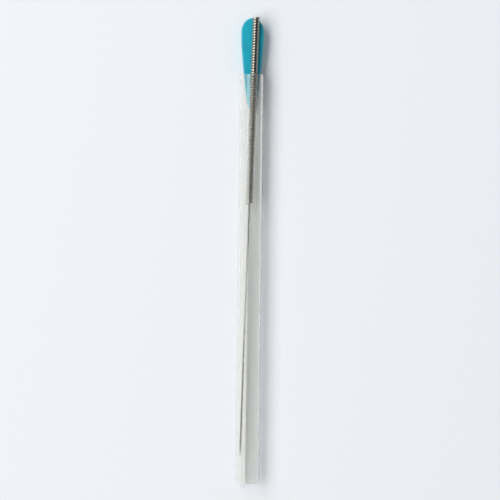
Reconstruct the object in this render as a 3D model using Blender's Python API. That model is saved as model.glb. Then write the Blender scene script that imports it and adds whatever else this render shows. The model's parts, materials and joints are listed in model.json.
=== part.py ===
"""Single-use acupuncture needle in its guide tube, held by a lock wedge.

The clear tube lies along Y with its mouth towards +Y. The needle leans across
the bore from wall to wall, and its wound handle stands out of the mouth. The
moulded wedge is jammed in the mouth under the handle. The tube and the flat on
the back of the wedge's head lie on the surface Z = 0, and the origin is on that
surface under the middle of the whole.
"""

import math

import bmesh
import bpy
from mathutils import Vector

# Needle, sold as 0.30 x 40 mm
SHAFT_DIAMETER = 0.30e-3
BLADE_LENGTH = 40.0e-3
POINT_LENGTH = 1.8e-3
POINT_END_DIAMETER = 0.02e-3
SHAFT_TOP_CHAMFER = 0.04e-3

# Handle, one wire wound close round the top of the shaft
HANDLE_LENGTH = 30.0e-3
HANDLE_STANDOUT = 9.2e-3
WIRE_DIAMETER = 0.42e-3
TURN_GAP = 0.01e-3
WINDING_CLEARANCE = 0.01e-3
SHAFT_RECESS = 0.12e-3

# Guide tube, cut from clear extrusion
TUBE_LENGTH = 65.0e-3
BORE_DIAMETER = 3.1e-3
TUBE_WALL = 0.35e-3
RIM_CHAMFER = 0.05e-3

# Where the needle lies in the bore, as angles about the tube from straight up towards +X
HANDLE_SIDE = math.radians(19.0)
POINT_SIDE = math.radians(-101.0)
SLIDE_GAP = 0.03e-3

# Lock wedge, moulded as a teardrop with a flat front
WEDGE_AXIS_DROP = 0.20e-3
WEDGE_STANDOUT = 9.1e-3
WEDGE_DEPTH = 5.4e-3
HEAD_DIAMETER = 3.6e-3
DOME_LENGTH = 2.3e-3
MOUTH_TAPER = 0.105
TAIL_DIAMETER = 1.3e-3
TAIL_ROUND = 0.5e-3
TAIL_TAPER = 0.20
WEDGE_FILLET = 0.20e-3
GATE_DIAMETER = 0.5e-3

# How finely the round forms are divided
TUBE_SIDES = 32
SHAFT_SIDES = 12
WIRE_SIDES = 6
STEPS_PER_TURN = 12
POINT_RINGS = 6
WEDGE_SIDES = 32
DOME_RINGS = 7
BODY_RINGS = 5
TAIL_RINGS = 3
SMOOTH_ANGLE = math.radians(40.0)

# Sizes that follow from the ones above
SHAFT_RADIUS = SHAFT_DIAMETER / 2
WIRE_RADIUS = WIRE_DIAMETER / 2
COIL_RADIUS = SHAFT_RADIUS + WINDING_CLEARANCE + WIRE_RADIUS
HANDLE_RADIUS = COIL_RADIUS + WIRE_RADIUS
PITCH = WIRE_DIAMETER + TURN_GAP
BORE_RADIUS = BORE_DIAMETER / 2
TUBE_RADIUS = BORE_RADIUS + TUBE_WALL
FACET_SHARE = math.cos(math.pi / TUBE_SIDES)
AXIS_HEIGHT = TUBE_RADIUS * FACET_SHARE
BORE_REACH = BORE_RADIUS * FACET_SHARE - SLIDE_GAP
MOUTH_Y = (TUBE_LENGTH - HANDLE_STANDOUT) / 2
HEAD_RADIUS = HEAD_DIAMETER / 2
MOUTH_RADIUS = BORE_REACH - WEDGE_AXIS_DROP
TAIL_RADIUS = TAIL_DIAMETER / 2

# Colours, as red, green and blue from 0 to 255
DRAWN_STEEL = (196, 196, 190)
WOUND_STEEL = (182, 182, 175)
CLEAR_PLASTIC = (226, 228, 226)
TEAL_PLASTIC = (28, 150, 172)
TUBE_ALPHA = 0.35


def linear(colour):
    """Turn a display colour into the linear values that a shader takes."""
    return [((c / 255 + 0.055) / 1.055) ** 2.4 for c in colour]


def material(name, colour, roughness, metallic=0.0, alpha=1.0):
    """Make a material with one Principled shader."""
    made = bpy.data.materials.new(name)
    made.use_nodes = True
    shader = made.node_tree.nodes["Principled BSDF"]
    shader.inputs["Base Color"].default_value = (*linear(colour), 1.0)
    shader.inputs["Roughness"].default_value = roughness
    shader.inputs["Metallic"].default_value = metallic
    shader.inputs["Alpha"].default_value = alpha
    return made


def place(name, mesh, finish, parent, location=(0.0, 0.0, 0.0)):
    """Put a finished mesh in the scene, smooth but for its real edges."""
    mesh.shade_smooth()
    mesh.set_sharp_from_angle(angle=SMOOTH_ANGLE)
    mesh.materials.append(finish)
    piece = bpy.data.objects.new(name, mesh)
    piece.parent = parent
    piece.location = location
    bpy.context.scene.collection.objects.link(piece)
    return piece


def marker(name, location, parent=None):
    """Add an empty that carries pieces."""
    empty = bpy.data.objects.new(name, None)
    empty.empty_display_size = TUBE_RADIUS
    empty.parent = parent
    empty.location = location
    bpy.context.scene.collection.objects.link(empty)
    return empty


def ring(radius, along, sides):
    """Points of a circle about Y, with a flat facing straight up."""
    angles = [(step + 0.5) * math.tau / sides for step in range(sides)]
    return [Vector((radius * math.sin(a), along, radius * math.cos(a))) for a in angles]


def loft(name, rings, closed=False):
    """Skin rings of equal count, joined end to end if closed and else capped."""
    bm = bmesh.new()
    loops = [[bm.verts.new(point) for point in points] for points in rings]
    pairs = list(zip(loops, loops[1:]))
    if closed:
        pairs.append((loops[-1], loops[0]))
    else:
        bm.faces.new(loops[0])
        bm.faces.new(loops[-1])
    for near, far in pairs:
        for k in range(len(near)):
            bm.faces.new((near[k - 1], near[k], far[k], far[k - 1]))
    bmesh.ops.recalc_face_normals(bm, faces=bm.faces)
    return finished(name, bm)


def finished(name, bm):
    """Write an edited mesh out and free it."""
    mesh = bpy.data.meshes.new(name)
    bm.to_mesh(mesh)
    bm.free()
    return mesh


def against_wall(radius, side):
    """Centre of a round piece that lies against the bore, as across and up."""
    reach = BORE_REACH - radius
    return Vector((reach * math.sin(side), 0.0, reach * math.cos(side)))


def needle_line():
    """Where the needle crosses the mouth, and its direction towards the handle."""
    at_mouth = against_wall(HANDLE_RADIUS, HANDLE_SIDE)
    at_foot = against_wall(SHAFT_RADIUS, POINT_SIDE) - Vector((0.0, TUBE_LENGTH, 0.0))
    return at_mouth, (at_mouth - at_foot).normalized()


def guide_tube(parent, finish):
    """Plain tube with its cut rims eased, from the mouth at 0 down to its foot."""
    eased = RIM_CHAMFER
    half_section = [
        (BORE_RADIUS, -eased),
        (BORE_RADIUS + eased, 0.0),
        (TUBE_RADIUS - eased, 0.0),
        (TUBE_RADIUS, -eased),
        (TUBE_RADIUS, eased - TUBE_LENGTH),
        (TUBE_RADIUS - eased, -TUBE_LENGTH),
        (BORE_RADIUS + eased, -TUBE_LENGTH),
        (BORE_RADIUS, eased - TUBE_LENGTH),
    ]
    rings = [ring(radius, along, TUBE_SIDES) for radius, along in half_section]
    place("guide_tube", loft("guide_tube", rings, closed=True), finish, parent)


def needle_shaft(line, handle_top, finish):
    """Straight shaft with a ground point that swells like an ogive."""
    top = handle_top - SHAFT_RECESS
    foot = handle_top - HANDLE_LENGTH - BLADE_LENGTH
    end_radius = POINT_END_DIAMETER / 2
    outline = [(SHAFT_RADIUS - SHAFT_TOP_CHAMFER, top), (SHAFT_RADIUS, top - SHAFT_TOP_CHAMFER)]
    for step in range(POINT_RINGS + 1):
        share = step / POINT_RINGS
        swell = math.sqrt(1 - share**2) * (1 - share) ** 0.25
        outline.append((end_radius + (SHAFT_RADIUS - end_radius) * swell, foot + POINT_LENGTH * (1 - share)))
    rings = [ring(radius, along, SHAFT_SIDES) for radius, along in outline]
    place("needle_shaft", loft("needle_shaft", rings), finish, line)


def handle_winding(line, handle_top, finish):
    """Wire section carried right-handed round the shaft, one pitch down for each turn."""
    turns = (HANDLE_LENGTH - WIRE_DIAMETER) / PITCH
    steps = round(turns * STEPS_PER_TURN)
    step_angle = math.tau / STEPS_PER_TURN
    step_down = Vector((0.0, -PITCH / STEPS_PER_TURN, 0.0))
    bm = bmesh.new()
    section = []
    for k in range(WIRE_SIDES):
        angle = k * math.tau / WIRE_SIDES
        across = COIL_RADIUS + WIRE_RADIUS * math.sin(angle)
        along = handle_top - WIRE_RADIUS + WIRE_RADIUS * math.cos(angle)
        section.append(bm.verts.new((across, along, 0.0)))
    wire_end = bm.faces.new(section)
    bmesh.ops.spin(
        bm,
        geom=[wire_end, *wire_end.edges, *wire_end.verts],
        axis=(0.0, 1.0, 0.0),
        angle=-steps * step_angle,
        dvec=step_down,
        steps=steps,
    )
    bmesh.ops.recalc_face_normals(bm, faces=bm.faces)
    place("handle_winding", finished("handle_winding", bm), finish, line)


def hermite(start, start_slope, end, end_slope, run, share):
    """Smooth curve between two values with given slopes, at a share of the run."""
    a = 2 * share**3 - 3 * share**2 + 1
    b = share**3 - 2 * share**2 + share
    c = share**3 - share**2
    return a * start + b * run * start_slope + (1 - a) * end + c * run * end_slope


def wedge_outline():
    """Distance from the mouth and radius of each section, head first."""
    head_at = WEDGE_STANDOUT - DOME_LENGTH
    tail_at = TAIL_ROUND - WEDGE_DEPTH
    outline = []
    gate_angle = math.acos(GATE_DIAMETER / HEAD_DIAMETER)
    for step in range(DOME_RINGS):
        angle = gate_angle * (1 - step / DOME_RINGS)
        outline.append((head_at + DOME_LENGTH * math.sin(angle), HEAD_RADIUS * math.cos(angle)))
    for step in range(BODY_RINGS):
        share = step / BODY_RINGS
        radius = hermite(HEAD_RADIUS, 0.0, MOUTH_RADIUS, -MOUTH_TAPER, head_at, share)
        outline.append((head_at * (1 - share), radius))
    for step in range(BODY_RINGS):
        share = step / BODY_RINGS
        radius = hermite(MOUTH_RADIUS, -MOUTH_TAPER, TAIL_RADIUS, -TAIL_TAPER, -tail_at, share)
        outline.append((tail_at * share, radius))
    for step in range(TAIL_RINGS + 1):
        angle = math.radians(75.0) * step / TAIL_RINGS
        outline.append((tail_at - TAIL_ROUND * math.sin(angle), TAIL_RADIUS * math.cos(angle)))
    return outline


def wedge_section(along, radius, front):
    """Round section cut flat by the handle in front and by the surface behind."""
    fillet = min(WEDGE_FILLET, radius)
    core = radius - fillet
    highest = front - fillet
    lowest = WEDGE_AXIS_DROP - AXIS_HEIGHT + fillet
    points = []
    for step in range(WEDGE_SIDES):
        angle = (step + 0.5) * math.tau / WEDGE_SIDES
        up = min(max(core * math.cos(angle), lowest), highest)
        across = math.copysign(math.sqrt(max(core**2 - up**2, 0.0)), math.sin(angle))
        points.append(Vector((across + fillet * math.sin(angle), along, up + fillet * math.cos(angle))))
    return points


def lock_wedge(parent, finish):
    """Teardrop plug whose front runs along under the handle, a slide gap away."""
    at_mouth, direction = needle_line()
    slope = direction.z / direction.y
    clear_of_handle = at_mouth.z - HANDLE_RADIUS - SLIDE_GAP + WEDGE_AXIS_DROP
    rings = [wedge_section(along, radius, clear_of_handle + slope * along) for along, radius in wedge_outline()]
    drop = (0.0, 0.0, -WEDGE_AXIS_DROP)
    place("lock_wedge", loft("lock_wedge", rings), finish, parent, drop)


def build():
    """Clear the scene and make the whole part."""
    for old in list(bpy.data.objects):
        bpy.data.objects.remove(old, do_unlink=True)
    mouth = marker("tube_mouth", (0.0, MOUTH_Y, AXIS_HEIGHT))
    at_mouth, direction = needle_line()
    line = marker("needle_line", at_mouth, mouth)
    line.rotation_euler = direction.to_track_quat("Y", "Z").to_euler()
    handle_top = HANDLE_STANDOUT / direction.y
    guide_tube(mouth, material("clear_plastic", CLEAR_PLASTIC, 0.12, alpha=TUBE_ALPHA))
    lock_wedge(mouth, material("teal_plastic", TEAL_PLASTIC, 0.35))
    needle_shaft(line, handle_top, material("drawn_steel", DRAWN_STEEL, 0.25, metallic=1.0))
    handle_winding(line, handle_top, material("wound_steel", WOUND_STEEL, 0.32, metallic=1.0))


build()
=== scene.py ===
"""Acupuncture needle in its guide tube, held by its lock wedge, with the finish of each surface."""

import json
import math

import bpy
from bpy.props import FloatProperty, FloatVectorProperty, IntProperty, PointerProperty
from bpy.types import Operator, Panel, PropertyGroup
from mathutils import Matrix, Vector


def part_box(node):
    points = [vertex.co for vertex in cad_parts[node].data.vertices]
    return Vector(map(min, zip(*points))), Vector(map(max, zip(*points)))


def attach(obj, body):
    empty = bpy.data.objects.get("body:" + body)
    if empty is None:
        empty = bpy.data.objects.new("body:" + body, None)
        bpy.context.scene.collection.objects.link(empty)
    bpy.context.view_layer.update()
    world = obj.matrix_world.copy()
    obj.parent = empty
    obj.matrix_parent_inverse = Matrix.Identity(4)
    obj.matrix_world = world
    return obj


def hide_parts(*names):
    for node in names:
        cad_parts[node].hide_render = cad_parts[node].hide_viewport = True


bl_info = {
    "name": "Acupuncture Needle",
    "version": (1, 0, 0),
    "blender": (4, 5, 0),
    "location": "View3D > Sidebar > Needle",
    "description": "Models a wound-handle needle in its guide tube, with its lock wedge",
    "category": "Add Mesh",
}

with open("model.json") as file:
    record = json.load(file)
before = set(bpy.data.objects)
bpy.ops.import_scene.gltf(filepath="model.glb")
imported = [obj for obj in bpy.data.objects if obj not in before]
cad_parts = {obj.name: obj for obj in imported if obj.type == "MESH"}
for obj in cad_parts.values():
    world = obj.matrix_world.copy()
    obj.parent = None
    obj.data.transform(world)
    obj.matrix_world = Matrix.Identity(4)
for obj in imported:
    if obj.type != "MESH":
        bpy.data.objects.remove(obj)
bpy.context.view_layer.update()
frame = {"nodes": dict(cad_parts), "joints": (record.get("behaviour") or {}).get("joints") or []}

MM = 0.001
ALONG_Y = (-math.pi / 2, 0, 0)

# Darkest tone of each surface, as a share of its own colour
STEEL_DARK = 0.82
PLASTIC_DARK = 0.85
FLOOR_DARK = 0.97

# Most values of a noise texture lie between these
NOISE_LOW, NOISE_HIGH = 0.3, 0.7

# Drawn lines are this many times longer than wide, and their tone this many times broader
LINE_STRETCH = 40
TONE_STRETCH = 30

# Bending of light in the clear plastic, and what passes it at its edges as a share of what passes face on
TUBE_IOR = 1.49
EDGE_SHARE = 0.7

# The winding sways in two slow waves, in radians for each turn, the second of them weaker
SWAY_SLOW, SWAY_FAST = 2.9, 7.3
SWAY_PHASE = 1.0
SWAY_SHARE = 0.6

# The wire's cut ends spring out over this part of a turn
SPRING_TURNS = 0.4

# Width of the camera's sensor, in millimetres
CAMERA_SENSOR = 36

# Places read from the frame
TUBE_LOW, TUBE_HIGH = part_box("guide_tube")
MOUTH = Vector((0.0, TUBE_HIGH.y, (TUBE_LOW.z + TUBE_HIGH.z) / 2))
TUBE_RADIUS = (TUBE_HIGH.z - TUBE_LOW.z) / 2
TUBE_LENGTH = TUBE_HIGH.y - TUBE_LOW.y
WEDGE_LOW, WEDGE_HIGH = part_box("lock_wedge")


def joint_axis(name):
    """Direction of a joint, as the record gives it."""
    return Vector(next(j["axis"] for j in frame["joints"] if j["name"] == name)).normalized()


def shaft_top(depth=0.02 * MM):
    """Middle of the shaft's upper end."""
    points = [v.co for v in frame["nodes"]["needle_shaft"].data.vertices]
    highest = max(p.y for p in points)
    end = [p for p in points if p.y > highest - depth]
    return Vector([(min(p[k] for p in end) + max(p[k] for p in end)) / 2 for k in range(3)])


NEEDLE_UP = -joint_axis("needle_slide")
SHAFT_TOP = shaft_top()
NEEDLE_PLACE = Matrix.LocRotScale(SHAFT_TOP, NEEDLE_UP.to_track_quat("Y", "Z"), None)


def along_needle(node):
    """Lowest and highest reach of a node along the needle, from the shaft's upper end."""
    reaches = [(v.co - SHAFT_TOP).dot(NEEDLE_UP) for v in frame["nodes"][node].data.vertices]
    return min(reaches), max(reaches)


POINT_AT = along_needle("needle_shaft")[0]
HANDLE_FOOT, HANDLE_TOP = along_needle("handle_winding")


def length(name, description, default):
    """A property that holds a length in metres."""
    return FloatProperty(name=name, description=description, default=default, unit="LENGTH", precision=6)


def number(name, description, default, **settings):
    """A property that holds a plain number."""
    return FloatProperty(name=name, description=description, default=default, **settings)


def angle(name, description, degrees):
    """A property that holds an angle, given in degrees."""
    return FloatProperty(name=name, description=description, default=math.radians(degrees), subtype="ANGLE")


def colour(name, description, red, green, blue):
    """A property that holds a colour, given as it is seen, from 0 to 255."""
    seen = [((c / 255 + 0.055) / 1.055) ** 2.4 for c in (red, green, blue)]
    return FloatVectorProperty(
        name=name, description=description, default=seen, subtype="COLOR", min=0, max=1
    )


class NEEDLE_PG_steel(PropertyGroup):
    """Sizes and colours of the shaft and the wound handle"""

    shaft_diameter: length("Shaft", "Diameter of the drawn shaft", 0.30 * MM)
    point_length: length("Point", "Length of the ground point", 1.8 * MM)
    point_end: length("Point's end", "Diameter at the very end of the point", 0.012 * MM)
    wire_diameter: length("Wire", "Diameter of the handle's wire", 0.42 * MM)
    wire_clearance: length("Clearance", "Room between the shaft and its winding", 0.01 * MM)
    pitch: length("Pitch", "Rise from one turn of the winding to the next", 0.43 * MM)
    spring_out: length("Spring", "How far the cut ends of the wire stand off", 0.05 * MM)
    turn_sway: length("Sway", "How far single turns lie out of line", 0.006 * MM)
    turn_steps: IntProperty(name="Steps", description="Steps in one turn", default=36, min=8)
    wire_sides: IntProperty(name="Sides", description="Sides of the wire's section", default=16, min=6)
    shaft_colour: colour("Shaft", "Colour of the ground shaft", 150, 148, 142)
    wire_colour: colour("Wire", "Colour of the handle's wire", 174, 172, 163)


class NEEDLE_PG_tube(PropertyGroup):
    """Sizes and colours of the guide tube"""

    wall: length("Wall", "Thickness of the tube's wall", 0.35 * MM)
    rim: length("Rim", "Rounding of the cut rims", 0.05 * MM)
    sides: IntProperty(name="Sides", description="Sides of the round tube", default=128, min=16)
    tint: colour("Tint", "Colour of the clear plastic", 252, 252, 249)
    shade: colour("Shade", "Colour of the light that passes one face", 214, 215, 216)
    cut: colour("Cut", "Colour of the sawn rims", 236, 238, 238)


class NEEDLE_PG_wedge(PropertyGroup):
    """Sizes and colours of the lock wedge"""

    axis_drop: length("Drop", "How far the wedge's axis lies below the tube's", 0.20 * MM)
    head_diameter: length("Head", "Width of the head", 3.6 * MM)
    dome_length: length("Dome", "Length of the head's rounded end", 2.3 * MM)
    mouth_diameter: length("Mouth", "Width where the wedge enters the tube", 2.625 * MM)
    mouth_taper: number("Mouth taper", "Taper of the radius at the mouth", 0.105)
    tail_diameter: length("Tail", "Width near the tail's end", 1.3 * MM)
    tail_taper: number("Tail taper", "Taper of the radius at the tail", 0.20)
    tail_round: length("Tail round", "Length of the tail's rounded end", 0.5 * MM)
    fillet: length("Fillet", "Rounding of the long edges", 0.20 * MM)
    front_gap: length("Gap", "Room between the handle and the wedge's front", 0.03 * MM)
    gate: length("Gate", "Diameter of the trimmed gate on the dome", 0.5 * MM)
    gate_step: length("Gate step", "How far the trimmed gate stands off the dome", 0.03 * MM)
    parting: length("Parting line", "How far the mould's parting line stands off", 0.012 * MM)
    colour: colour("Plastic", "Colour of the moulded plastic", 4, 163, 186)


class NEEDLE_PG_stage(PropertyGroup):
    """The floor, the lamps and the view"""

    floor: colour("Floor", "Colour of the floor", 229, 232, 236)
    floor_size: length("Floor size", "Width of the floor", 1.2)
    view_height: length("View", "Height of what the camera sees", 80 * MM)
    distance: length("Distance", "Height of the camera above the floor", 0.42)
    lean: angle("Lean", "Lean of the tube in the view", 0.69)
    key_power: number("Key", "Power of the key lamp", 17.2, unit="POWER")
    key_width: length("Key width", "Width of the key lamp, across the tube", 0.65)
    key_length: length("Key length", "Length of the key lamp, along the tube", 1.8)
    key_distance: length("Key distance", "Distance of the key lamp from the part", 1.2)
    key_rise: angle("Key rise", "Angle of the key lamp above the floor", 54)
    key_turn: angle("Key turn", "Direction of the key lamp, turned from the right", 165)
    ambient: number("Ambient", "Level of the even light from all round", 0.39)
    backdrop: number("Backdrop", "Level of the pale backdrop, where 1 is white", 0.92)


def start_clean():
    """Leave edit mode and deselect everything."""
    if bpy.context.mode != "OBJECT":
        bpy.ops.object.mode_set(mode="OBJECT")
    bpy.ops.object.select_all(action="DESELECT")


def select_in_edit(piece, kind, test):
    """Enter edit mode with only the elements selected that pass the test."""
    bpy.ops.object.mode_set(mode="EDIT")
    bpy.ops.mesh.select_mode(type=kind)
    bpy.ops.mesh.select_all(action="DESELECT")
    bpy.ops.object.mode_set(mode="OBJECT")
    mesh = piece.data
    elements = {"VERT": mesh.vertices, "EDGE": mesh.edges, "FACE": mesh.polygons}[kind]
    for element in elements:
        element.select = test(element)
    bpy.ops.object.mode_set(mode="EDIT")


def lies_between(piece, low, high):
    """Make the test of whether all of a face or an edge lies between two places along Y."""
    return lambda element: all(low < piece.data.vertices[k].co.y < high for k in element.vertices)


def name_piece(name):
    """Give the object just added its name, and its mesh the same."""
    piece = bpy.context.object
    piece.name = name
    piece.data.name = name
    return piece


def apply_modifier(piece, name, kind, **settings):
    """Add a modifier with its settings and apply it at once."""
    modifier = piece.modifiers.new(name, kind)
    for key, value in settings.items():
        setattr(modifier, key, value)
    bpy.ops.object.modifier_apply(modifier=modifier.name)


def add_rings(piece, *places):
    """Cut rings across a long piece, so that its long faces keep one normal along their length."""
    select_in_edit(piece, "FACE", lambda face: True)
    for place in places:
        bpy.ops.mesh.bisect(plane_co=(0, place, 0), plane_no=(0, 1, 0), threshold=0.0001 * MM)
        bpy.ops.mesh.select_all(action="SELECT")
    bpy.ops.object.mode_set(mode="OBJECT")


def settle(piece, place=None):
    """Put a piece where it belongs, with its place in its mesh."""
    if place is not None:
        piece.matrix_world = place @ piece.matrix_world
    bpy.ops.object.transform_apply(location=True, rotation=True, scale=True)


def finish_piece(piece, node, body, finishes, angle=math.radians(35)):
    """Shade a piece, give it its materials and let it stand for its node."""
    bpy.ops.object.shade_smooth_by_angle(angle=angle)
    piece.data.materials.clear()
    for finish in finishes:
        piece.data.materials.append(finish)
    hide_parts(node)
    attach(piece, body)


def add_node(tree, kind, x=0, y=0, **settings):
    """Add a node at a place and set what is given."""
    node = tree.nodes.new(kind)
    node.location = (x, y)
    for key, value in settings.items():
        setattr(node, key, value)
    return node


def set_inputs(node, **values):
    """Set a node's inputs by name, with spaces as underscores."""
    for key, value in values.items():
        node.inputs[key.replace("_", " ")].default_value = value


def new_group(name, inputs, outputs):
    """Make an empty node group with its sockets, or find it if it is there."""
    group = bpy.data.node_groups.get(name)
    if group:
        return group, False
    group = bpy.data.node_groups.new(name, "ShaderNodeTree")
    for label, kind, default in inputs:
        socket = group.interface.new_socket(name=label, in_out="INPUT", socket_type=kind)
        if default is not None:
            socket.default_value = default
    for label, kind in outputs:
        group.interface.new_socket(name=label, in_out="OUTPUT", socket_type=kind)
    return group, True


def drawn_lines_group():
    """Fine lines along one direction, such as drawing or extrusion leaves, with slow changes of tone."""
    group, is_new = new_group(
        "drawn_lines",
        [
            ("Vector", "NodeSocketVector", None),
            ("Lines across", "NodeSocketFloat", 40000.0),
            ("Lines along", "NodeSocketFloat", 600.0),
            ("Tone scale", "NodeSocketFloat", 900.0),
        ],
        [("Lines", "NodeSocketFloat"), ("Tone", "NodeSocketFloat")],
    )
    if not is_new:
        return group
    entry = add_node(group, "NodeGroupInput", -700)
    leave = add_node(group, "NodeGroupOutput", 500)
    stretch = add_node(group, "ShaderNodeCombineXYZ", -500, 150)
    scaled = add_node(group, "ShaderNodeVectorMath", -300, 100, operation="MULTIPLY")
    lines = add_node(group, "ShaderNodeTexNoise", -100, 150)
    tone = add_node(group, "ShaderNodeTexNoise", -100, -150)
    set_inputs(lines, Scale=1.0, Detail=3.0, Roughness=0.6)
    set_inputs(tone, Detail=2.0, Roughness=0.5)
    link = group.links.new
    link(entry.outputs["Lines across"], stretch.inputs["X"])
    link(entry.outputs["Lines along"], stretch.inputs["Y"])
    link(entry.outputs["Lines across"], stretch.inputs["Z"])
    link(entry.outputs["Vector"], scaled.inputs[0])
    link(stretch.outputs[0], scaled.inputs[1])
    link(scaled.outputs[0], lines.inputs["Vector"])
    link(entry.outputs["Vector"], tone.inputs["Vector"])
    link(entry.outputs["Tone scale"], tone.inputs["Scale"])
    link(lines.outputs["Fac"], leave.inputs["Lines"])
    link(tone.outputs["Fac"], leave.inputs["Tone"])
    return group


def mottle_group():
    """Two sizes of soft unevenness, as on moulded plastic."""
    group, is_new = new_group(
        "mottle",
        [
            ("Vector", "NodeSocketVector", None),
            ("Fine scale", "NodeSocketFloat", 20000.0),
            ("Broad scale", "NodeSocketFloat", 900.0),
        ],
        [("Fine", "NodeSocketFloat"), ("Broad", "NodeSocketFloat")],
    )
    if not is_new:
        return group
    entry = add_node(group, "NodeGroupInput", -500)
    leave = add_node(group, "NodeGroupOutput", 300)
    link = group.links.new
    for label, y, detail in (("Fine", 150, 4.0), ("Broad", -150, 2.0)):
        noise = add_node(group, "ShaderNodeTexNoise", -100, y)
        set_inputs(noise, Detail=detail, Roughness=0.55)
        link(entry.outputs["Vector"], noise.inputs["Vector"])
        link(entry.outputs[label + " scale"], noise.inputs["Scale"])
        link(noise.outputs["Fac"], leave.inputs[label])
    return group


def new_material(name):
    """Make a material and return it with its tree and its Principled shader."""
    made = bpy.data.materials.new(name)
    made.use_nodes = True
    tree = made.node_tree
    return made, tree, tree.nodes["Principled BSDF"]


def between(tree, value, low, high, x=0, y=0):
    """Spread a value from 0 to 1 over another range and return the socket."""
    spread = add_node(tree, "ShaderNodeMapRange", x, y)
    set_inputs(spread, From_Min=NOISE_LOW, From_Max=NOISE_HIGH, To_Min=low, To_Max=high)
    tree.links.new(value, spread.inputs["Value"])
    return spread.outputs["Result"]


def tinted(tree, value, dark, light, x=0, y=0):
    """Colour that runs from dark to light with a value."""
    mix = add_node(tree, "ShaderNodeMix", x, y, data_type="RGBA")
    mix.inputs["A"].default_value = (*dark, 1.0)
    mix.inputs["B"].default_value = (*light, 1.0)
    tree.links.new(value, mix.inputs["Factor"])
    return mix.outputs["Result"]


def relief(tree, shader, height, depth, x=0, y=0):
    """Raise a height into the shader's normal, by a depth in metres."""
    bump = add_node(tree, "ShaderNodeBump", x, y)
    set_inputs(bump, Strength=1.0, Distance=depth)
    tree.links.new(height, bump.inputs["Height"])
    tree.links.new(bump.outputs["Normal"], shader.inputs["Normal"])


def darker(seen, share):
    """A colour with every part of it reduced to a share."""
    return [c * share for c in seen]


def pattern(tree, group, source, **scales):
    """Add a pattern on the coordinates given, with its scales."""
    node = add_node(tree, "ShaderNodeGroup", -700, 0, node_tree=group)
    set_inputs(node, **scales)
    tree.links.new(source, node.inputs["Vector"])
    return node.outputs


def toned(tree, shader, value, seen, share):
    """Let a value run the shader's colour from its darkest tone up to the colour itself."""
    tone = between(tree, value, 0.0, 1.0, -400, 200)
    shades = tinted(tree, tone, darker(seen, share), seen, -200, 200)
    tree.links.new(shades, shader.inputs["Base Color"])


def grained(tree, shader, value, roughness, depth):
    """Let a value run the shader's roughness over a range, and raise it as a relief."""
    low, high = roughness
    tree.links.new(between(tree, value, low, high, -400, 0), shader.inputs["Roughness"])
    relief(tree, shader, value, depth, -200, -200)


def steel(name, seen, coordinates, across, roughness, depth):
    """Steel with fine lines along its length, on the coordinates that the caller adds."""
    made, tree, shader = new_material(name)
    set_inputs(shader, Metallic=1.0)
    scales = {
        "Lines_across": across,
        "Lines_along": across / LINE_STRETCH,
        "Tone_scale": across / TONE_STRETCH,
    }
    lines = pattern(tree, drawn_lines_group(), coordinates(tree), **scales)
    toned(tree, shader, lines["Tone"], seen, STEEL_DARK)
    grained(tree, shader, lines["Lines"], roughness, depth)
    return made


def object_coordinates(tree):
    """Coordinates of the piece itself."""
    place = add_node(tree, "ShaderNodeTexCoord", -1100)
    return place.outputs["Object"]


def needle_coordinates(tree):
    """Object coordinates turned to run along the needle."""
    turn = add_node(tree, "ShaderNodeMapping", -900, vector_type="POINT")
    turn.inputs["Rotation"].default_value = NEEDLE_PLACE.to_3x3().inverted().to_euler()
    tree.links.new(object_coordinates(tree), turn.inputs["Vector"])
    return turn.outputs["Vector"]


def wire_coordinates(tree):
    """Place on the wire as if it were drawn out straight along Y."""
    place = add_node(tree, "ShaderNodeAttribute", -800, attribute_name="straight_wire")
    return place.outputs["Vector"]


class NEEDLE_OT_shaft(Operator):
    """Model the drawn steel shaft with its ground point"""

    bl_idname = "needle.shaft"
    bl_label = "Shaft"

    def execute(self, context):
        look = context.scene.needle_steel
        start_clean()
        point_base = POINT_AT + look.point_length
        bpy.ops.mesh.primitive_cylinder_add(
            vertices=32,
            radius=look.shaft_diameter / 2,
            depth=-point_base,
            location=(0, point_base / 2, 0),
            rotation=ALONG_Y,
        )
        piece = name_piece("steel_shaft")
        settle(piece)
        end_face = lies_between(piece, -math.inf, point_base + 0.01 * MM)
        select_in_edit(piece, "FACE", end_face)
        self.grind_point(look, point_base)
        bpy.ops.object.mode_set(mode="OBJECT")
        top_edges = lies_between(piece, -0.001 * MM, math.inf)
        select_in_edit(piece, "EDGE", top_edges)
        bpy.ops.mesh.bevel(offset=0.04 * MM, segments=3, affect="EDGES")
        bpy.ops.object.mode_set(mode="OBJECT")
        add_rings(piece, -0.1 * MM, point_base + 0.1 * MM)
        settle(piece, NEEDLE_PLACE)
        finish = steel(
            "ground_shaft",
            look.shaft_colour,
            needle_coordinates,
            across=60000.0,
            roughness=(0.16, 0.30),
            depth=0.0006 * MM,
        )
        finish_piece(piece, "needle_shaft", "needle", [finish])
        return {"FINISHED"}

    def grind_point(self, look, base, rings=18):
        """Draw the end face out into a point that swells like an ogive."""
        least = look.point_end / look.shaft_diameter
        now = 1.0
        for step in range(1, rings + 1):
            share = step / rings
            swell = math.sqrt(max(1 - share**2, 0.0)) * (1 - share) ** 0.25
            wanted = least + (1 - least) * swell
            bpy.ops.mesh.extrude_region_move(
                TRANSFORM_OT_translate={"value": (0, -look.point_length / rings, 0)}
            )
            height = base - look.point_length * share
            factor = wanted / now
            bpy.ops.transform.resize(value=(factor, 1, factor), center_override=(0, height, 0))
            now = wanted


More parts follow.
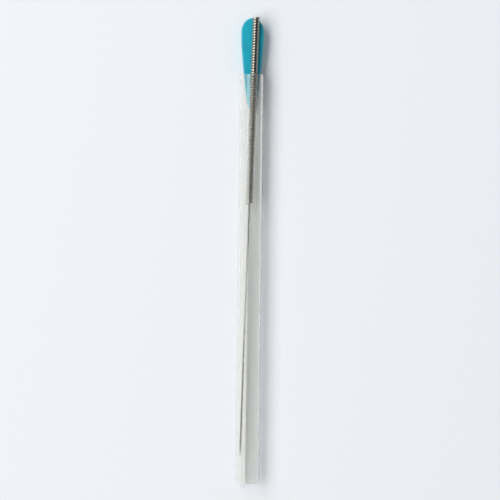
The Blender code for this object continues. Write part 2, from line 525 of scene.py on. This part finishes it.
class NEEDLE_OT_winding(Operator):
    """Wind the handle's wire round the top of the shaft"""

    bl_idname = "needle.winding"
    bl_label = "Wound Handle"

    def execute(self, context):
        look = context.scene.needle_steel
        start_clean()
        wire = look.wire_diameter / 2
        coil = look.shaft_diameter / 2 + look.wire_clearance + wire
        drop = HANDLE_TOP - HANDLE_FOOT - 2 * wire
        turns = drop / look.pitch
        steps = round(turns * look.turn_steps)
        bpy.ops.mesh.primitive_circle_add(
            vertices=look.wire_sides, radius=wire, location=(coil, HANDLE_TOP - wire, 0)
        )
        piece = name_piece("wound_handle")
        settle(piece)
        section = [v.co - Vector((coil, HANDLE_TOP - wire, 0)) for v in piece.data.vertices]
        apply_modifier(
            piece,
            "winding",
            "SCREW",
            axis="Y",
            angle=-math.tau * turns,
            screw_offset=-drop,
            steps=steps,
            render_steps=steps,
            use_merge_vertices=False,
            merge_threshold=0.0,
        )
        self.mark_straight(piece, section, steps, turns * math.tau * coil)
        self.sway(piece, look, steps, coil)
        bpy.ops.object.mode_set(mode="EDIT")
        bpy.ops.mesh.select_mode(type="EDGE")
        bpy.ops.mesh.select_non_manifold(
            extend=False, use_wire=False, use_multi_face=False, use_non_contiguous=False, use_verts=False
        )
        bpy.ops.mesh.edge_face_add()
        bpy.ops.mesh.select_all(action="SELECT")
        bpy.ops.mesh.normals_make_consistent(inside=False)
        bpy.ops.object.mode_set(mode="OBJECT")
        settle(piece, NEEDLE_PLACE)
        finish = steel(
            "wound_wire",
            look.wire_colour,
            wire_coordinates,
            across=45000.0,
            roughness=(0.20, 0.36),
            depth=0.0012 * MM,
        )
        finish_piece(piece, "handle_winding", "needle", [finish])
        return {"FINISHED"}

    def mark_straight(self, piece, section, steps, run):
        """Keep, for each point, where it would lie on the wire drawn out straight along Y."""
        marks = piece.data.attributes.new("straight_wire", "FLOAT_VECTOR", "POINT")
        sides = len(section)
        for index in range(len(piece.data.vertices)):
            step, side = divmod(index, sides)
            across = section[side]
            marks.data[index].vector = (across.x, run * step / steps, across.y)

    def sway(self, piece, look, steps, coil):
        """Let single turns lie a little out of line, and the cut ends spring out."""
        sides = look.wire_sides
        reach = look.turn_steps * SPRING_TURNS
        for index, vertex in enumerate(piece.data.vertices):
            step = index // sides
            turn = step / look.turn_steps
            waves = math.sin(SWAY_SLOW * turn) + SWAY_SHARE * math.sin(SWAY_FAST * turn + SWAY_PHASE)
            out = look.turn_sway * waves / (1 + SWAY_SHARE)
            from_end = min(step, steps - step) / reach
            if from_end < 1:
                out += look.spring_out * (1 - from_end) ** 2
            angle = -math.tau * turn
            vertex.co.x += out * math.cos(angle)
            vertex.co.z -= out * math.sin(angle)


class NEEDLE_OT_tube(Operator):
    """Model the clear guide tube with its cut rims"""

    bl_idname = "needle.tube"
    bl_label = "Guide Tube"

    def execute(self, context):
        look = context.scene.needle_tube
        start_clean()
        bpy.ops.mesh.primitive_cylinder_add(
            vertices=look.sides,
            radius=TUBE_RADIUS,
            depth=TUBE_LENGTH,
            end_fill_type="NOTHING",
            location=MOUTH - Vector((0, TUBE_LENGTH / 2, 0)),
            rotation=ALONG_Y,
        )
        piece = name_piece("clear_tube")
        settle(piece)
        apply_modifier(piece, "wall", "SOLIDIFY", thickness=look.wall, offset=-1.0, use_even_offset=True)
        vertices = piece.data.vertices
        axis = Vector((MOUTH.x, 0, MOUTH.z))
        margin = look.rim / 10

        def on_rim(edge):
            near, far = (vertices[k].co for k in edge.vertices)
            if abs(near.y - far.y) > margin:
                return False
            spread = [(Vector((p.x, 0, p.z)) - axis).length for p in (near, far)]
            return abs(spread[0] - spread[1]) < margin

        select_in_edit(piece, "EDGE", on_rim)
        bpy.ops.mesh.bevel(offset=look.rim, segments=3, affect="EDGES")
        bpy.ops.object.mode_set(mode="OBJECT")
        add_rings(piece, TUBE_LOW.y + 2 * look.rim, TUBE_HIGH.y - 2 * look.rim)
        finishes = [self.clear_plastic(look), self.cut_plastic(look)]
        finish_piece(piece, "guide_tube", "tube", finishes, math.radians(50))
        for face in piece.data.polygons:
            from_end = min(TUBE_HIGH.y - face.center.y, face.center.y - TUBE_LOW.y)
            face.material_index = 1 if from_end < look.rim / 2 else 0
        return {"FINISHED"}

    def cut_plastic(self, look):
        """The sawn rims, milky and dull, with fine marks of the saw."""
        made, tree, shader = new_material("cut_rims")
        set_inputs(shader, IOR=TUBE_IOR, Transmission_Weight=0.35)
        scales = {"Lines_across": 3000.0, "Lines_along": 3000.0, "Tone_scale": 2500.0}
        marks = pattern(tree, drawn_lines_group(), object_coordinates(tree), **scales)
        toned(tree, shader, marks["Tone"], look.cut, PLASTIC_DARK)
        grained(tree, shader, marks["Lines"], roughness=(0.35, 0.55), depth=0.004 * MM)
        return made

    def clear_plastic(self, look):
        """Clear extruded plastic with faint lines along it."""
        made, tree, shader = new_material("clear_tube")
        link = tree.links.new
        set_inputs(shader, IOR=TUBE_IOR, Transmission_Weight=0.96, Metallic=0.0)
        shader.inputs["Base Color"].default_value = (*look.tint, 1.0)
        scales = {"Lines_across": 5000.0, "Lines_along": 8.0, "Tone_scale": 150.0}
        lines = pattern(tree, drawn_lines_group(), object_coordinates(tree), **scales)
        grained(tree, shader, lines["Lines"], roughness=(0.005, 0.03), depth=0.0005 * MM)
        rays = add_node(tree, "ShaderNodeLightPath", 50, 500)
        facing = add_node(tree, "ShaderNodeLayerWeight", -250, 500)
        through = add_node(tree, "ShaderNodeBsdfTransparent", 50, 200)
        passed = tinted(
            tree, facing.outputs["Facing"], look.shade, darker(look.shade, EDGE_SHARE), -100, 400
        )
        link(passed, through.inputs["Color"])
        mix = add_node(tree, "ShaderNodeMixShader", 300, 200)
        link(rays.outputs["Is Shadow Ray"], mix.inputs["Fac"])
        link(shader.outputs["BSDF"], mix.inputs[1])
        link(through.outputs["BSDF"], mix.inputs[2])
        link(mix.outputs["Shader"], tree.nodes["Material Output"].inputs["Surface"])
        return made


def hermite(start, start_slope, end, end_slope, run, share):
    """Smooth curve between two values with given slopes, at a share of the run."""
    a = 2 * share**3 - 3 * share**2 + 1
    b = share**3 - 2 * share**2 + share
    c = share**3 - share**2
    return a * start + b * run * start_slope + (1 - a) * end + c * run * end_slope


class NEEDLE_OT_wedge(Operator):
    """Model the moulded lock wedge"""

    bl_idname = "needle.wedge"
    bl_label = "Lock Wedge"

    def execute(self, context):
        look = context.scene.needle_wedge
        steel_look = context.scene.needle_steel
        start_clean()
        bpy.ops.mesh.primitive_uv_sphere_add(
            segments=128, ring_count=120, radius=1.0, rotation=ALONG_Y
        )
        piece = name_piece("teal_wedge")
        settle(piece)
        handle = steel_look.shaft_diameter / 2 + steel_look.wire_clearance + steel_look.wire_diameter
        at_mouth = SHAFT_TOP + NEEDLE_UP * ((MOUTH.y - SHAFT_TOP.y) / NEEDLE_UP.y)
        slope = NEEDLE_UP.z / NEEDLE_UP.y
        centre = MOUTH - Vector((0, 0, look.axis_drop))
        front_at_mouth = at_mouth.z - handle - look.front_gap - centre.z
        for vertex in piece.data.vertices:
            share = math.acos(max(-1.0, min(1.0, vertex.co.y))) / math.pi
            angle = math.atan2(vertex.co.x, vertex.co.z)
            along, radius = self.outline(look, share)
            shaped = self.section(look, along, radius, angle, front_at_mouth + slope * along, centre.z)
            on_parting = abs(abs(angle) - math.pi / 2) < 0.01
            if on_parting:
                # The line runs out where the wedge does
                shaped.x += math.copysign(min(look.parting, radius / 20), shaped.x)
            vertex.co = centre + shaped
        finishes = [self.teal_plastic(look)]
        finish_piece(piece, "lock_wedge", "wedge", finishes, math.radians(60))
        return {"FINISHED"}

    def outline(self, look, share):
        """Distance from the mouth and radius at a share of the way from head to tail."""
        top = WEDGE_HIGH.y - MOUTH.y
        head = look.head_diameter / 2
        mouth = look.mouth_diameter / 2
        tail = look.tail_diameter / 2
        gate = look.gate / 2
        gate_top = gate * 0.9
        gate_angle = math.acos(gate / head)
        head_at = top - look.gate_step - look.dome_length * math.sin(gate_angle)
        tail_at = WEDGE_LOW.y - MOUTH.y + look.tail_round
        # Where one form ends and the next begins, on the way from head to tail
        gate_share, foot_share, dome_share, mouth_share, tail_share = 0.03, 0.05, 0.33, 0.62, 0.88
        if share < gate_share:
            return top, gate_top * share / gate_share
        if share < foot_share:
            part = (share - gate_share) / (foot_share - gate_share)
            return top - look.gate_step * part, gate_top + (gate - gate_top) * part
        if share < dome_share:
            angle = gate_angle * (1 - (share - foot_share) / (dome_share - foot_share))
            return head_at + look.dome_length * math.sin(angle), head * math.cos(angle)
        if share < mouth_share:
            part = (share - dome_share) / (mouth_share - dome_share)
            return head_at * (1 - part), hermite(head, 0.0, mouth, -look.mouth_taper, head_at, part)
        if share < tail_share:
            part = (share - mouth_share) / (tail_share - mouth_share)
            return tail_at * part, hermite(mouth, -look.mouth_taper, tail, -look.tail_taper, -tail_at, part)
        angle = math.pi / 2 * (share - tail_share) / (1 - tail_share)
        return tail_at - look.tail_round * math.sin(angle), tail * math.cos(angle)

    def section(self, look, along, radius, angle, front, height):
        """Point of the section at an angle, flat in front and where it meets the surface behind."""
        fillet = min(look.fillet, radius)
        core = radius - fillet
        up = min(max(core * math.cos(angle), fillet - height), front - fillet)
        across = math.copysign(math.sqrt(max(core**2 - up**2, 0.0)), math.sin(angle))
        return Vector((across + fillet * math.sin(angle), along, up + fillet * math.cos(angle)))

    def teal_plastic(self, look):
        """Moulded plastic with a soft sheen and a little depth."""
        made, tree, shader = new_material("moulded_wedge")
        set_inputs(shader, IOR=1.5, Specular_IOR_Level=0.4)
        set_inputs(
            shader, Subsurface_Weight=0.1, Subsurface_Scale=0.3 * MM, Subsurface_Radius=(0.3, 1.0, 1.1)
        )
        scales = {"Fine_scale": 16000.0, "Broad_scale": 500.0}
        mottle = pattern(tree, mottle_group(), object_coordinates(tree), **scales)
        toned(tree, shader, mottle["Broad"], look.colour, PLASTIC_DARK)
        grained(tree, shader, mottle["Fine"], roughness=(0.26, 0.42), depth=0.003 * MM)
        return made


class NEEDLE_OT_stage(Operator):
    """Set the floor, the lamps, the world and the camera"""

    bl_idname = "needle.stage"
    bl_label = "Stage"

    def execute(self, context):
        look = context.scene.needle_stage
        start_clean()
        bpy.ops.mesh.primitive_plane_add(size=look.floor_size, location=(0, 0, 0))
        floor = name_piece("pale_floor")
        floor.data.materials.append(self.pale_floor(look))
        self.key_lamp(look)
        self.world(look)
        self.camera(context, look)
        context.scene.view_settings.view_transform = "Standard"
        return {"FINISHED"}

    def pale_floor(self, look):
        """Plain pale surface, a touch uneven in tone."""
        made, tree, shader = new_material("pale_floor")
        set_inputs(shader, Roughness=0.7)
        scales = {"Fine_scale": 2500.0, "Broad_scale": 60.0}
        mottle = pattern(tree, mottle_group(), object_coordinates(tree), **scales)
        toned(tree, shader, mottle["Fine"], look.floor, FLOOR_DARK)
        return made

    def key_lamp(self, look):
        """Long soft lamp beside the tube, aimed at the middle of the part."""
        flat = math.cos(look.key_rise)
        turn = look.key_turn
        away = Vector((flat * math.cos(turn), flat * math.sin(turn), math.sin(look.key_rise)))
        bpy.ops.object.light_add(type="AREA", location=away * look.key_distance)
        lamp = bpy.context.object
        lamp.name = "key_lamp"
        # Its light passes the tube by shadow rays alone, so that it isn't counted twice
        lamp.visible_transmission = False
        lamp.data.shape = "RECTANGLE"
        lamp.data.size = look.key_width
        lamp.data.size_y = look.key_length
        lamp.data.energy = look.key_power
        across = Vector((0, 1, 0)).cross(away).normalized()
        lamp.rotation_euler = Matrix((across, away.cross(across), away)).transposed().to_euler()

    def world(self, look):
        """Pale backdrop all round, under a studio that is bright on one side and dim on the other."""
        world = bpy.data.worlds.new("studio")
        bpy.context.scene.world = world
        world.use_nodes = True
        tree = world.node_tree
        link = tree.links.new
        place = add_node(tree, "ShaderNodeTexCoord", -900)
        split = add_node(tree, "ShaderNodeSeparateXYZ", -700)
        link(place.outputs["Generated"], split.inputs["Vector"])
        side = add_node(tree, "ShaderNodeMapRange", -500, 200, interpolation_type="SMOOTHSTEP")
        bright, dim = 0.85, 0.04
        set_inputs(side, From_Min=-0.60, From_Max=0.10, To_Min=bright, To_Max=dim)
        link(split.outputs["X"], side.inputs["Value"])
        low = add_node(tree, "ShaderNodeMapRange", -500, -100, interpolation_type="SMOOTHSTEP")
        horizon, studio_foot = 0.04, 0.18
        set_inputs(low, From_Min=horizon, From_Max=studio_foot, To_Min=1.0, To_Max=0.0)
        link(split.outputs["Z"], low.inputs["Value"])
        level = add_node(tree, "ShaderNodeMix", -300, 0, data_type="FLOAT")
        level.inputs["B"].default_value = look.backdrop
        link(low.outputs["Result"], level.inputs["Factor"])
        link(side.outputs["Result"], level.inputs["A"])
        rays = add_node(tree, "ShaderNodeLightPath", -900, 500)
        bent = add_node(tree, "ShaderNodeMath", -700, 500, operation="MAXIMUM")
        link(rays.outputs["Is Glossy Ray"], bent.inputs[0])
        link(rays.outputs["Is Transmission Ray"], bent.inputs[1])
        lit = add_node(tree, "ShaderNodeMix", -100, 100, data_type="FLOAT")
        lit.inputs["A"].default_value = look.ambient
        link(bent.outputs[0], lit.inputs["Factor"])
        link(level.outputs["Result"], lit.inputs["B"])
        shown = add_node(tree, "ShaderNodeMix", 100, 100, data_type="FLOAT")
        shown.inputs["B"].default_value = look.backdrop
        link(rays.outputs["Is Camera Ray"], shown.inputs["Factor"])
        link(lit.outputs["Result"], shown.inputs["A"])
        background = tree.nodes["Background"]
        background.inputs["Color"].default_value = (1.0, 1.0, 1.0, 1.0)
        link(shown.outputs["Result"], background.inputs["Strength"])

    def camera(self, context, look):
        """Straight above, turned so that the tube leans as it does in the view."""
        bpy.ops.object.camera_add(location=(0, 0, look.distance), rotation=(0, 0, look.lean))
        camera = bpy.context.object
        camera.name = "view_camera"
        camera.data.sensor_width = CAMERA_SENSOR
        camera.data.lens = CAMERA_SENSOR * look.distance / look.view_height
        camera.data.clip_start = 0.01
        camera.data.clip_end = 10
        context.scene.camera = camera


PIECES = (NEEDLE_OT_shaft, NEEDLE_OT_winding, NEEDLE_OT_tube, NEEDLE_OT_wedge, NEEDLE_OT_stage)
GROUPS = {
    "needle_steel": NEEDLE_PG_steel,
    "needle_tube": NEEDLE_PG_tube,
    "needle_wedge": NEEDLE_PG_wedge,
    "needle_stage": NEEDLE_PG_stage,
}


class NEEDLE_PT_panel(Panel):
    """Sizes, colours and steps of the needle"""

    bl_idname = "NEEDLE_PT_panel"
    bl_label = "Needle"
    bl_space_type = "VIEW_3D"
    bl_region_type = "UI"
    bl_category = "Needle"

    def draw(self, context):
        for piece in PIECES:
            self.layout.operator(piece.bl_idname, text=piece.bl_label)
        for name in GROUPS:
            group = getattr(context.scene, name)
            box = self.layout.box()
            for key in group.bl_rna.properties.keys():
                if key not in {"rna_type", "name"}:
                    box.prop(group, key)


def register():
    """Register the classes and put the settings on the scene."""
    for name, kind in GROUPS.items():
        bpy.utils.register_class(kind)
        setattr(bpy.types.Scene, name, PointerProperty(type=kind))
    for kind in (*PIECES, NEEDLE_PT_panel):
        bpy.utils.register_class(kind)


def unregister():
    """Take the settings off the scene and unregister the classes."""
    for kind in (NEEDLE_PT_panel, *reversed(PIECES)):
        bpy.utils.unregister_class(kind)
    for name, kind in GROUPS.items():
        delattr(bpy.types.Scene, name)
        bpy.utils.unregister_class(kind)


def main():
    """Model every piece in order."""
    register()
    bpy.ops.needle.shaft()
    bpy.ops.needle.winding()
    bpy.ops.needle.tube()
    bpy.ops.needle.wedge()
    bpy.ops.needle.stage()
    bpy.context.view_layer.update()


if __name__ == "__main__":
    main()
